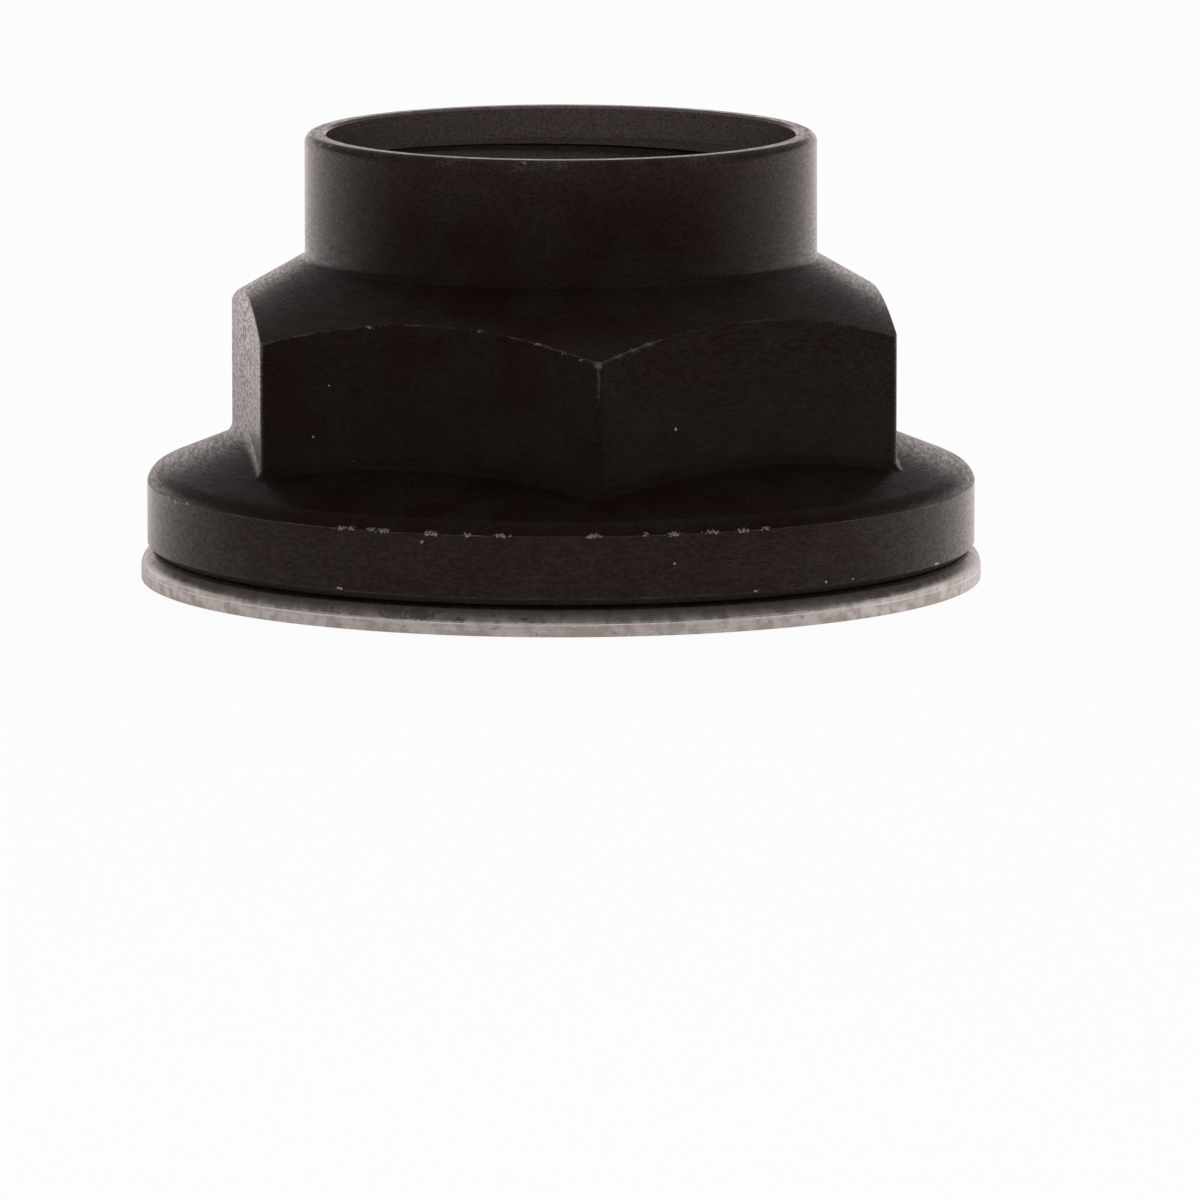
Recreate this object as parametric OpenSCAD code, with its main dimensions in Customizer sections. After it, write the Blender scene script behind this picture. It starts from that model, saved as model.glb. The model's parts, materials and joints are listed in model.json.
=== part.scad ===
// Spindle nut: a forged and turned hexagon nut with a conical flange, a thin
// stake collar on top and a captive washer that turns freely under the flange.
// The origin is the middle of the washer's bearing face, and +Z runs up the thread's axis.

/* [Thread] */
// Nominal diameter of the thread
thread_d = 22; // [20:0.5:23]
// Pitch of the thread
thread_pitch = 1.5; // [1:0.25:2]
// How far the lead-in countersink opens past the thread, on the radius
lead_in = 0.4; // [0.2:0.05:0.8]

/* [Hexagon] */
// Width across the flats
hex_af = 30; // [29:0.5:32]
// Height from the flange's underside to the foot of the collar
body_h = 13.95; // [13:0.05:18]
// Slope of the chamfer that runs from the collar's foot over the corners
top_slope = 30; // [25:1:35]
// Radius of the fillet where the flats run out onto the flange
root_r = 0.6; // [0.5:0.1:1.3]

/* [Flange] */
// Diameter of the flange
flange_d = 39.3; // [38:0.1:42]
// Height from the flange's underside to the crease at the top of its side
flange_side_h = 3.25; // [2.5:0.05:4]
// Slope of the flange's conical top
flange_slope = 22; // [18:1:26]
// Radius of the rounded shoulder between the cone and the crease
shoulder_r = 0.95; // [0.6:0.05:1.3]
// How far the shoulder turns towards the vertical before the crease stops it
shoulder_turn = 78; // [65:1:85]
// Width of the chamfer round the flange's lower edge
flange_chamfer = 0.34; // [0.1:0.02:0.6]

/* [Collar] */
// Height of the stake collar above its foot
collar_h = 5.85; // [4:0.05:8]
// Wall thickness of the stake collar
collar_wall = 1.02; // [0.8:0.02:1.4]
// Clearance of the collar's plain bore around the thread
collar_relief = 0.12; // [0.05:0.01:0.3]
// Depth of the plain bore below the rim
collar_bore_h = 1.5; // [1:0.1:4]
// Radius of the rim's outer edge
rim_r = 0.45; // [0.2:0.05:0.6]
// Width of the chamfer on the rim's inner edge
rim_chamfer = 0.12; // [0.05:0.01:0.2]
// Radius of the fillet at the collar's foot
collar_foot_r = 0.4; // [0.2:0.05:0.8]

/* [Washer] */
// How far the captive washer reaches past the flange
washer_overhang = 0.3; // [0.1:0.05:1.5]
// Thickness of the captive washer
washer_t = 1.4; // [1.2:0.05:2.5]
// Radius of the washer's stamped upper edge
washer_edge_r = 0.8; // [0.3:0.05:0.9]
// Depth of the countersink that hides the swaged lip
washer_sink = 0.7; // [0.6:0.05:0.9]

/* [Swaged spigot] */
// Wall left between the thread and the outside of the spigot
spigot_wall = 1.6; // [1.2:0.05:2.2]
// Running clearance between the spigot and the washer's hole
washer_play = 0.1; // [0.05:0.01:0.2]
// How far the washer can drop before the lip stops it
washer_float = 0.25; // [0.2:0.01:0.35]
// How far the lip stays above the bearing face
lip_recess = 0.15; // [0.05:0.01:0.2]

/* [Hidden] */
$fn = 96;

// Height of a metric thread's ridge, as a share of the pitch
RIDGE_SHARE = 0.54127;
// How far a cut runs past the face that it opens
over = 1;
// How far the root fillet's arc dips into the flat and the flange's cone, so that it crosses both
root_dip = 0.03;
// Angle past the cone's slope at which that arc stops
root_stop = 8;

thread_r = thread_d / 2;
thread_minor_r = thread_r - RIDGE_SHARE * thread_pitch;
lead_in_r = thread_r + lead_in;

hex_r = hex_af / 2;
corner_r = hex_r / cos(30);
half_flat = hex_r * tan(30);
blank_r = corner_r + root_r;

flange_r = flange_d / 2;
washer_r = flange_r + washer_overhang;
collar_bore_r = thread_r + collar_relief;
collar_r = collar_bore_r + collar_wall;

spigot_r = thread_r + spigot_wall;
washer_hole_r = spigot_r + washer_play;
lip_z = lip_recess;
flare_z = washer_sink + washer_play - washer_float;
lip_r = spigot_r + flare_z - lip_z;

flange_z = washer_t;
crease_z = flange_z + flange_side_h;
foot_z = flange_z + body_h;
rim_z = foot_z + collar_h;
bore_floor_z = rim_z - collar_bore_h;

// Middle of the shoulder's arc, and the point where the arc leaves the flange's cone
shoulder_mid = [flange_r - shoulder_r * sin(shoulder_turn), crease_z - shoulder_r * cos(shoulder_turn)];
cone_edge = shoulder_mid + shoulder_r * [sin(flange_slope), cos(flange_slope)];

// Height of the flange's cone, and of the top chamfer, at a radius
function flange_cone_z(r) = cone_edge[1] + (cone_edge[0] - r) * tan(flange_slope);
function top_cone_z(r) = foot_z - (r - collar_r) * tan(top_slope);

// Arc along which a flat meets the flange's cone: highest at mid flat, lowest at the corners
root_apex_z = flange_cone_z(hex_r);
root_sag = root_apex_z - flange_cone_z(corner_r);
root_arc_r = (half_flat * half_flat + root_sag * root_sag) / (2 * root_sag);
root_axis_z = root_apex_z - root_arc_r;

// Sliver between a corner at p and the arc that rounds it, where u and v point along its sides
module corner_sliver(p, u, v, r) {
    sine = abs(cross(u, v));
    run = r * (1 + u * v) / sine;
    middle = p + (u + v) * r / sine;
    difference() {
        polygon([p, p + u * run, middle, p + v * run]);
        translate(middle) circle(r = r);
    }
}

// Conical flange with its chamfered lower edge, rounded shoulder and crease
module flange() {
    shoulder_corner = [flange_r, flange_cone_z(flange_r)];
    rotate_extrude()
        difference() {
            polygon([
                [0, flange_z],
                [flange_r - flange_chamfer, flange_z],
                [flange_r, flange_z + flange_chamfer],
                shoulder_corner,
                [thread_minor_r, flange_cone_z(thread_minor_r)],
                [0, flange_cone_z(thread_minor_r)]
            ]);
            difference() {
                polygon([shoulder_corner, cone_edge, shoulder_mid, [flange_r, crease_z]]);
                translate(shoulder_mid) circle(r = shoulder_r);
            }
        }
}

// Collar on a round blank, whose cone chamfers the corners of the hexagon cut from it
module turned_blank() {
    rotate_extrude()
        difference() {
            union() {
                polygon([
                    [0, crease_z],
                    [blank_r, crease_z],
                    [blank_r, top_cone_z(blank_r)],
                    [collar_r, foot_z],
                    [collar_r, rim_z],
                    [0, rim_z]
                ]);
                corner_sliver([collar_r, foot_z], [0, 1], [cos(top_slope), -sin(top_slope)], collar_foot_r);
            }
            corner_sliver([collar_r, rim_z], [0, -1], [-1, 0], rim_r);
        }
}

// Space outside one flat, facing +X: its rounded lower corner leaves the fillet on the flange
module beside_flat() {
    low = crease_z - root_axis_z - over;
    high = foot_z - root_axis_z + over;
    out = blank_r - hex_r + over;
    sweep = 2 * asin((sqrt(blank_r * blank_r - hex_r * hex_r) + over) / low);
    reach = root_r - root_dip;
    middle = [root_arc_r - reach * tan(flange_slope) + reach / cos(flange_slope), reach];
    stop_y = reach - root_r * sin(flange_slope + root_stop);
    translate([hex_r, 0, root_axis_z])
        rotate([0, 90, 0])
            rotate([0, 0, 180 - sweep / 2])
                rotate_extrude(angle = sweep) {
                    polygon([[low, stop_y], [middle[0], stop_y], [middle[0], 0], [high, 0], [high, out], [low, out]]);
                    intersection() {
                        translate(middle) circle(r = root_r);
                        translate([low, 0]) square([high - low, out]);
                    }
                }
}

// Spigot below the flange, its end swaged outwards into a lip that traps the washer
module spigot() {
    rotate_extrude()
        polygon([
            [0, lip_z],
            [lip_r, lip_z],
            [spigot_r, flare_z],
            [spigot_r, flange_z + over],
            [0, flange_z + over]
        ]);
}

// Space of the bore: lead-in countersink, threaded length at its minor diameter, plain bore
module bore() {
    rotate_extrude()
        polygon([
            [0, lip_z - over],
            [lead_in_r + over, lip_z - over],
            [thread_minor_r, lip_z + lead_in_r - thread_minor_r],
            [thread_minor_r, bore_floor_z - (collar_bore_r - thread_minor_r)],
            [collar_bore_r, bore_floor_z],
            [collar_bore_r, rim_z - rim_chamfer],
            [collar_bore_r + rim_chamfer + over, rim_z + over],
            [0, rim_z + over]
        ]);
}

// Nut forged and turned from one blank: collar, hexagon, flange and spigot
module nut_body() {
    color([0.09, 0.08, 0.075])
        difference() {
            union() {
                difference() {
                    turned_blank();
                    for (flat = [0:5])
                        rotate([0, 0, 60 * flat]) beside_flat();
                }
                flange();
                spigot();
            }
            bore();
        }
}

// Stamped washer: rolled upper edge, flat bearing face, countersink for the swaged lip
module captive_washer() {
    color([0.56, 0.55, 0.53])
        rotate_extrude()
            difference() {
                polygon([
                    [washer_hole_r + washer_sink, 0],
                    [washer_r, 0],
                    [washer_r, washer_t],
                    [washer_hole_r, washer_t],
                    [washer_hole_r, washer_sink]
                ]);
                corner_sliver([washer_r, washer_t], [0, -1], [-1, 0], washer_edge_r);
            }
}

nut_body();
captive_washer();
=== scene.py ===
"""Looks of a flanged spindle nut with a captive washer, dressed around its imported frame."""

import json
import logging
import math
from collections.abc import Sequence
from dataclasses import dataclass, field
from enum import Enum
from typing import Any, NamedTuple

import bmesh
import bpy
from mathutils import Matrix, Vector


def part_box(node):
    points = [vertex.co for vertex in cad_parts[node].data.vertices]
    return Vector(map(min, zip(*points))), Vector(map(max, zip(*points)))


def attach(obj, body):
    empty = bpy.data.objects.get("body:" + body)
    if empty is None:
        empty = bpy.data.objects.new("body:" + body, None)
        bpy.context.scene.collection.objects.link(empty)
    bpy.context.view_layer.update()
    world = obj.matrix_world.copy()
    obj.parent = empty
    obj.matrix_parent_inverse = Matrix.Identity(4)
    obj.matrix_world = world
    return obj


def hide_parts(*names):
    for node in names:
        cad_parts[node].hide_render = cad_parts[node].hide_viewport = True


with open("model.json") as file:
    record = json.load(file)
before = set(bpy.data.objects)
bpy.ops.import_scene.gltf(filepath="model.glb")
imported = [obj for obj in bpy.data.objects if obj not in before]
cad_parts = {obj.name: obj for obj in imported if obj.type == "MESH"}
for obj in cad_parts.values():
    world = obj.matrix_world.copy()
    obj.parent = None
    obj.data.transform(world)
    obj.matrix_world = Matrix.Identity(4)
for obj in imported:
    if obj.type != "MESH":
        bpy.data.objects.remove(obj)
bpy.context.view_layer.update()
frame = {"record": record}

MM = 0.001
SIDES = 6
HALF_SECTOR = math.pi / SIDES

# Values that the vertices carry
# The wear value also carries the painted highlight along the edges.
WEAR_AND_HIGHLIGHT_LAYER = "wear_and_highlight"
TURNED_LAYER = "turned"
FORGED_LAYER = "forged"
ROW_LAYER = "row"

# Radius of the collar's wall, in millimetres, and how far the lathe's rings lean on the faces beside it
COLLAR_MIDDLE_R = 11.6
RING_LEAN = 0.6

# What takes the height out of a place, and the range of a mask
FLAT = (1.0, 1.0, 0.0)
MASK = (0.0, 1.0)

log = logging.getLogger("spindle_nut")

Colour = tuple[float, float, float, float]
Socket = bpy.types.NodeSocket


class Body(Enum):
    """Bodies that the pieces ride on."""

    NUT = "nut"
    WASHER = "washer"


class Node(Enum):
    """Solids that the pieces stand for."""

    NUT_BODY = "nut_body"
    CAPTIVE_WASHER = "captive_washer"


class Slot(Enum):
    """Material slots of the record."""

    BLACK_STEEL = "black_steel"
    BARE_STEEL = "bare_steel"


class NodeGraph:
    """Short calls for adding nodes to a tree and joining them."""

    def __init__(self, tree: bpy.types.NodeTree) -> None:
        """Keeps the tree that the calls work on."""
        self.tree = tree

    def add(self, kind: str, **settings: Any) -> bpy.types.Node:
        """Adds a node.

        Args:
            kind: Type name of the node.
            **settings: Properties to set on it.

        Returns:
            The new node.
        """
        node = self.tree.nodes.new(kind)
        for name, value in settings.items():
            setattr(node, name, value)
        return node

    def feed(self, socket: Socket, value: Any) -> None:
        """Links a socket to an input, or sets the input to a plain value.

        Args:
            socket: Input to feed.
            value: Output socket, or a number, vector or colour.
        """
        if isinstance(value, Socket):
            self.tree.links.new(value, socket)
        else:
            socket.default_value = value

    def math(self, operation: str, *values: Any) -> Socket:
        """Adds a Math node.

        Args:
            operation: Name of the operation.
            *values: Its inputs, in order.

        Returns:
            The result.
        """
        node = self.add("ShaderNodeMath", operation=operation)
        for socket, value in zip(node.inputs, values):
            self.feed(socket, value)
        return node.outputs["Value"]

    def vector(self, operation: str, *values: Any) -> Socket:
        """Adds a Vector Math node.

        Args:
            operation: Name of the operation.
            *values: Its vector inputs, in order.

        Returns:
            The result, a number where the operation gives one.
        """
        node = self.add("ShaderNodeVectorMath", operation=operation)
        for socket, value in zip(node.inputs, values):
            self.feed(socket, value)
        scalar = operation in ("LENGTH", "DOT_PRODUCT", "DISTANCE")
        return node.outputs["Value" if scalar else "Vector"]

    def place_mm(self) -> Socket:
        """Gives the point's place in the piece's own frame, in millimetres."""
        coords = self.add("ShaderNodeTexCoord")
        return self.vector("MULTIPLY", coords.outputs["Object"], (1 / MM,) * 3)

    def per_mm(self, size: Socket) -> Socket:
        """Gives the number of features to the millimetre from their size."""
        return self.math("DIVIDE", 1.0, size)

    def along(self, place: Socket) -> Socket:
        """Gives a point's way along the outline of a turned piece.

        Args:
            place: Place of the point, in millimetres.

        Returns:
            The way, in millimetres.
        """
        parts = self.add("ShaderNodeSeparateXYZ")
        self.feed(parts.inputs[0], place)
        radius = self.vector("LENGTH", self.vector("MULTIPLY", place, FLAT))
        off_wall = self.math("ABSOLUTE", self.math("SUBTRACT", radius, COLLAR_MIDDLE_R))
        return self.math("SUBTRACT", parts.outputs["Z"], self.math("MULTIPLY", off_wall, RING_LEAN))

    def drawn_noise(self, place: Socket, circle: Socket, scale: Socket, detail: float) -> Socket:
        """Adds a Noise texture that is drawn out around the axis.

        Args:
            place: Place of the point, in millimetres.
            circle: Radius of the circle that the way around the axis is shortened to, in millimetres.
            scale: Features to the millimetre.
            detail: Octaves of finer noise.

        Returns:
            The noise, from 0 to 1.
        """
        level = self.vector("MULTIPLY", place, FLAT)
        height = self.vector("SUBTRACT", place, level)
        node = self.add("ShaderNodeTexNoise", noise_dimensions="4D")
        around = self.vector("MULTIPLY", self.vector("NORMALIZE", level), circle)
        self.feed(node.inputs["Vector"], self.vector("ADD", around, height))
        self.feed(node.inputs["W"], self.vector("LENGTH", level))
        self.feed(node.inputs["Scale"], scale)
        node.inputs["Detail"].default_value = detail
        return node.outputs[0]

    def noise(self, place: Socket, scale: Any, detail: float = 2.0, dimensions: str = "3D") -> Socket:
        """Adds a Noise texture.

        Args:
            place: Coordinate that it reads, a number where it has one dimension.
            scale: Features to the millimetre.
            detail: Octaves of finer noise.
            dimensions: Number of dimensions, as the node names it.

        Returns:
            The noise, from 0 to 1.
        """
        node = self.add("ShaderNodeTexNoise", noise_dimensions=dimensions)
        self.feed(node.inputs["W" if dimensions == "1D" else "Vector"], place)
        self.feed(node.inputs["Scale"], scale)
        node.inputs["Detail"].default_value = detail
        return node.outputs[0]

    def remap(self, value: Socket, source: tuple[Any, Any], target: tuple[Any, Any]) -> Socket:
        """Maps a range onto another one smoothly, without passing its ends.

        Args:
            value: Number to map.
            source: Range that it comes from.
            target: Range that it goes to.

        Returns:
            The mapped number.
        """
        node = self.add("ShaderNodeMapRange", interpolation_type="SMOOTHSTEP")
        for socket, given in zip(node.inputs, (value, *source, *target)):
            self.feed(socket, given)
        return node.outputs["Result"]

    def mix(self, share: Any, first: Any, second: Any) -> Socket:
        """Mixes two colours.

        Args:
            share: Share of the second colour.
            first: Colour at 0.
            second: Colour at 1.

        Returns:
            The mixed colour.
        """
        node = self.add("ShaderNodeMix", data_type="RGBA")
        self.feed(node.inputs[0], share)
        self.feed(node.inputs[6], first)
        self.feed(node.inputs[7], second)
        return node.outputs[2]

    def bump(self, height: Socket, depth_mm: float, strength: float, normal: Socket | None = None) -> Socket:
        """Adds a Bump node.

        Args:
            height: Relief, from 0 to 1.
            depth_mm: Depth of the full relief, in millimetres.
            strength: Share of it that shows.
            normal: Normal that it builds on.

        Returns:
            The bumped normal.
        """
        node = self.add("ShaderNodeBump")
        node.inputs["Strength"].default_value = strength
        node.inputs["Distance"].default_value = depth_mm * MM
        self.feed(node.inputs["Height"], height)
        if normal is not None:
            self.feed(node.inputs["Normal"], normal)
        return node.outputs["Normal"]

    def most(self, masks: Sequence[Socket]) -> Socket:
        """Gives the greatest of several masks.

        Args:
            masks: The masks, at least one.

        Returns:
            The greatest at each point.
        """
        result = masks[0]
        for mask in masks[1:]:
            result = self.math("MAXIMUM", result, mask)
        return result


class EffectGroup:
    """A shader node group that several finishes place with their own values."""

    def __init__(self, name: str, inputs: dict[str, tuple[str, Any]], outputs: Sequence[str]) -> None:
        """Starts the group.

        Args:
            name: Name of the group.
            inputs: Socket type and default value of each input, by name.
            outputs: Names of the outputs, all plain numbers.
        """
        self.tree = bpy.data.node_groups.new(name, "ShaderNodeTree")
        for label, (kind, default) in inputs.items():
            socket = self.tree.interface.new_socket(label, in_out="INPUT", socket_type=kind)
            socket.default_value = default
        for label in outputs:
            self.tree.interface.new_socket(label, in_out="OUTPUT", socket_type="NodeSocketFloat")
        self.graph = NodeGraph(self.tree)
        self.given = self.graph.add("NodeGroupInput").outputs
        self.result = self.graph.add("NodeGroupOutput").inputs

    def place(self, graph: NodeGraph, **values: Any) -> bpy.types.NodeOutputs:
        """Places the group in a material.

        Args:
            graph: Graph of the material.
            **values: Inputs by name, with _ for a space.

        Returns:
            The outputs of the placed group.
        """
        node = graph.add("ShaderNodeGroup", node_tree=self.tree)
        for name, value in values.items():
            graph.feed(node.inputs[name.replace("_", " ")], value)
        return node.outputs


class Effects:
    """The node groups that the finishes share, each built once."""

    def __init__(self) -> None:
        """Builds all groups."""
        self.grain = self.build_grain()
        self.lathe = self.build_lathe()
        self.wear_and_highlight = self.build_wear_and_highlight()
        self.nick = self.build_nick()

    def build_grain(self) -> EffectGroup:
        """Fine grain, drawn out around the axis, and broad blotches of a surface.

        Returns:
            A group with the outputs Grain and Blotch.
        """
        group = EffectGroup(
            "surface_grain",
            {
                "Grain Size": ("NodeSocketFloat", 0.12),
                "Grain Circle": ("NodeSocketFloat", 8.0),
                "Blotch Size": ("NodeSocketFloat", 3.0),
            },
            ["Grain", "Blotch"],
        )
        graph = group.graph
        place = graph.place_mm()
        fine = graph.per_mm(group.given["Grain Size"])
        broad = graph.per_mm(group.given["Blotch Size"])
        graph.feed(group.result["Grain"], graph.drawn_noise(place, group.given["Grain Circle"], fine, 3.0))
        graph.feed(group.result["Blotch"], graph.noise(place, broad, 4.0))
        return group

    def build_lathe(self) -> EffectGroup:
        """Fine rings that a lathe tool or a press leaves around the axis.

        Returns:
            A group with the output Height.
        """
        group = EffectGroup(
            "lathe_rings",
            {"Spacing": ("NodeSocketFloat", 0.15), "Waver": ("NodeSocketFloat", 0.05)},
            ["Height"],
        )
        graph = group.graph
        place = graph.place_mm()
        along = graph.along(place)
        drift = graph.math("MULTIPLY", graph.noise(place, 0.25, 1.0), group.given["Waver"])
        rate = graph.per_mm(group.given["Spacing"])
        rings = graph.noise(graph.math("ADD", along, drift), rate, dimensions="1D")
        graph.feed(group.result["Height"], rings)
        return group

    def build_wear_and_highlight(self) -> EffectGroup:
        """Bare patches, and a painted highlight drawn as a thinned film, along the edges that the wear
        attribute marks.

        Returns:
            A group with the outputs Mask and Edge Highlight, the latter a painted highlight.
        """
        group = EffectGroup(
            "edge_wear_and_highlight",
            {
                "Amount": ("NodeSocketFloat", 0.0),
                "Patch Size": ("NodeSocketFloat", 1.0),
                "Speck Size": ("NodeSocketFloat", 0.08),
            },
            ["Mask", "Edge Highlight"],
        )
        graph = group.graph
        place = graph.place_mm()
        edge = graph.add("ShaderNodeAttribute", attribute_name=WEAR_AND_HIGHLIGHT_LAYER).outputs["Fac"]
        patches = graph.noise(place, graph.per_mm(group.given["Patch Size"]))
        specks = graph.noise(place, graph.per_mm(group.given["Speck Size"]))
        chance = graph.math("MULTIPLY", graph.math("ADD", patches, specks), 0.5)
        pull = graph.math("MULTIPLY", edge, 0.5)
        worn = graph.math("ADD", graph.math("ADD", chance, group.given["Amount"]), pull)
        on_edge = graph.remap(edge, (0.02, 0.2), MASK)
        bare = graph.remap(worn, (1.0, 1.07), MASK)
        graph.feed(group.result["Mask"], graph.math("MULTIPLY", on_edge, bare))
        # Painted highlight: edges that the wear attribute marks are lightened as if they caught the light.
        swing = graph.math("MULTIPLY", graph.math("SUBTRACT", chance, 0.5), 2.4)
        thinned_edge_highlight = graph.remap(graph.math("ADD", edge, swing), (0.4, 0.95), MASK)
        graph.feed(group.result["Edge Highlight"], thinned_edge_highlight)
        return group

    def build_nick(self) -> EffectGroup:
        """One cluster of specks at a stated place.

        Returns:
            A group with the output Mask.
        """
        group = EffectGroup(
            "nick",
            {
                "Place": ("NodeSocketVector", (0.0, 0.0, 0.0)),
                "Half Size": ("NodeSocketVector", (0.5, 0.5, 0.1)),
                "Speck Size": ("NodeSocketFloat", 0.1),
                "Density": ("NodeSocketFloat", 0.0),
            },
            ["Mask"],
        )
        graph = group.graph
        place = graph.place_mm()
        away = graph.vector("SUBTRACT", place, group.given["Place"])
        offset = graph.vector("DIVIDE", away, group.given["Half Size"])
        inside = graph.math("SUBTRACT", 1.0, graph.vector("LENGTH", offset))
        specks = graph.noise(place, graph.per_mm(group.given["Speck Size"]))
        dense = graph.math("ADD", specks, group.given["Density"])
        chance = graph.math("ADD", dense, graph.math("MULTIPLY", inside, 0.3))
        torn = graph.remap(chance, (0.60, 0.68), MASK)
        spot = graph.remap(inside, (0.0, 0.2), MASK)
        graph.feed(group.result["Mask"], graph.math("MULTIPLY", torn, spot))
        return group


@dataclass(frozen=True)
class Nick:
    """A spot where the finish is knocked off or stained, or a painted highlight drawn as bare specks.

    Attributes:
        azimuth: Degrees around the axis, from the front corner of the hexagon towards +X.
        r: Distance from the axis, in millimetres.
        z: Height, in millimetres.
        half_w: Half its width, in millimetres.
        half_h: Half its height, in millimetres.
        speck: Size of the specks that it is made of, in millimetres.
        density: How closely the specks fill it, from about -0.2 to 0.2.
        level: How far the specks are worn or stained, from 0 to 1.
    """

    azimuth: float
    r: float
    z: float
    half_w: float = 0.12
    half_h: float = 0.12
    speck: float = 0.12
    density: float = 0.0
    level: float = 1.0

    def mask(self, graph: NodeGraph, effects: Effects) -> Socket:
        """Places the spot in a material.

        Args:
            graph: Graph of the material.
            effects: Shared node groups.

        Returns:
            The mask of the spot.
        """
        turn = math.radians(self.azimuth)
        spot = effects.nick.place(
            graph,
            Place=(self.r * math.sin(turn), -self.r * math.cos(turn), self.z),
            Half_Size=(self.half_w, self.half_w, self.half_h),
            Speck_Size=self.speck,
            Density=self.density,
        )
        return graph.math("MULTIPLY", spot["Mask"], self.level)


@dataclass(frozen=True)
class BlackOxide:
    """Black oxide on forged and turned steel, worn bare in nicks.

    Attributes:
        dark: Colour of the darker blotches.
        light: Colour of the lighter blotches.
        fresh_film_and_painted_light: Colour of the thin film on turned faces, which in the deep bore and on
            the flange's lower chamfer also stands in for painted light.
        thinned_edge_highlight: Colour of the painted highlight along the edges, drawn as film rubbed thin.
        bare: Colour of the steel below.
        tint: Tint of what the film mirrors head on.
        speckle: Brightness of the film's darkest and lightest specks.
        roughness: Roughness of the smoothest and the roughest spots of a turned face.
        forged_roughness: What a forged face adds to it.
        coat_low: Weight of the smooth skin at the worst spots of a flat and of a turned face.
        forged_loss: Share of the skin that a forged face lacks.
        forged_and_foot_shade: How much darker the film is on a forged face, which also paints shade towards
            the foot of the flats.
        coat_roughness: Roughness of the skin.
        coat_ior: Index of refraction of the skin.
        bare_roughness: Roughness of the bare steel.
        ior: Index of refraction of the film.
        blotch_mm: Size of the blotches.
        grain_mm: Size of the grain.
        grain_depth_mm: Depth of the grain.
        mottle_range: Noise from which the skin starts, and at which it is whole.
        mottle_mm: Size of the skin's spots on a forged face.
        mottle_circle_mm: Circle that their way around the axis is shortened to.
        ring_spacing_mm: Distance of the lathe's rings.
        ring_waver_mm: How far they stray.
        ring_depth_mm: Depth of the rings.
        wear_amount: How much the edges are worn bare.
        wear_patch_mm: Size of the worn patches.
        wear_speck_mm: Size of the specks within them.
        thinned_edge_highlight_share: How far the film on an edge goes to the painted highlight's colour.
    """

    dark: Colour = (0.0105, 0.0048, 0.0036, 1.0)
    light: Colour = (0.0135, 0.0085, 0.0070, 1.0)
    fresh_film_and_painted_light: Colour = (0.131, 0.106, 0.0975, 1.0)
    thinned_edge_highlight: Colour = (0.075, 0.062, 0.057, 1.0)
    bare: Colour = (0.46, 0.42, 0.38, 1.0)
    tint: Colour = (1.0, 0.8, 0.75, 1.0)
    speckle: tuple[float, float] = (0.7, 1.3)
    roughness: tuple[float, float] = (0.12, 0.24)
    forged_roughness: float = 0.32
    coat_low: tuple[float, float] = (0.0, 0.35)
    forged_loss: float = 0.5
    forged_and_foot_shade: float = 0.4
    coat_roughness: float = 0.14
    coat_ior: float = 1.2
    bare_roughness: float = 0.42
    ior: float = 1.215
    blotch_mm: float = 2.6
    grain_mm: float = 0.1
    grain_depth_mm: float = 0.06
    mottle_range: tuple[float, float] = (0.40, 0.62)
    mottle_mm: float = 0.12
    mottle_circle_mm: float = 2.0
    ring_spacing_mm: float = 0.16
    ring_waver_mm: float = 0.04
    ring_depth_mm: float = 0.014
    wear_amount: float = -0.06
    wear_patch_mm: float = 1.4
    wear_speck_mm: float = 0.09
    thinned_edge_highlight_share: float = 0.6

    def material(self, name: str, effects: Effects, nicks_and_highlights: Sequence[Nick]) -> bpy.types.Material:
        """Builds the material.

        Args:
            name: Name of the material.
            effects: Shared node groups.
            nicks_and_highlights: Spots where the finish is knocked off, some of them painted highlights.

        Returns:
            The material.
        """
        material, graph, shader = new_material(name)
        grain = effects.grain.place(graph, Grain_Size=self.grain_mm, Blotch_Size=self.blotch_mm)
        spots = effects.grain.place(graph, Grain_Size=self.mottle_mm, Grain_Circle=self.mottle_circle_mm)
        lathe = effects.lathe.place(graph, Spacing=self.ring_spacing_mm, Waver=self.ring_waver_mm)
        turned = graph.add("ShaderNodeAttribute", attribute_name=TURNED_LAYER).outputs["Fac"]
        forged = graph.add("ShaderNodeAttribute", attribute_name=FORGED_LAYER).outputs["Fac"]
        wear_and_highlight = effects.wear_and_highlight.place(
            graph, Amount=self.wear_amount, Patch_Size=self.wear_patch_mm, Speck_Size=self.wear_speck_mm
        )
        bare = graph.most([wear_and_highlight["Mask"], *(nick.mask(graph, effects) for nick in nicks_and_highlights)])

        film = graph.mix(graph.remap(grain["Blotch"], (0.35, 0.65), MASK), self.dark, self.light)
        # Turned faces take the lighter fresh film, which the deep bore and the flange's lower chamfer use as
        # painted light.
        film = graph.mix(graph.remap(turned, (0.5, 1.2), MASK), film, self.fresh_film_and_painted_light)
        # Darkens forged faces; the flats fade towards forged at their foot, so this also paints shade there.
        forged_and_foot_darkening = graph.math("SUBTRACT", 1.0, graph.math("MULTIPLY", forged, self.forged_and_foot_shade))
        speckle = graph.math("MULTIPLY", graph.remap(grain["Grain"], (0.3, 0.7), self.speckle), forged_and_foot_darkening)
        film = graph.vector("MULTIPLY", film, speckle)
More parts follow.
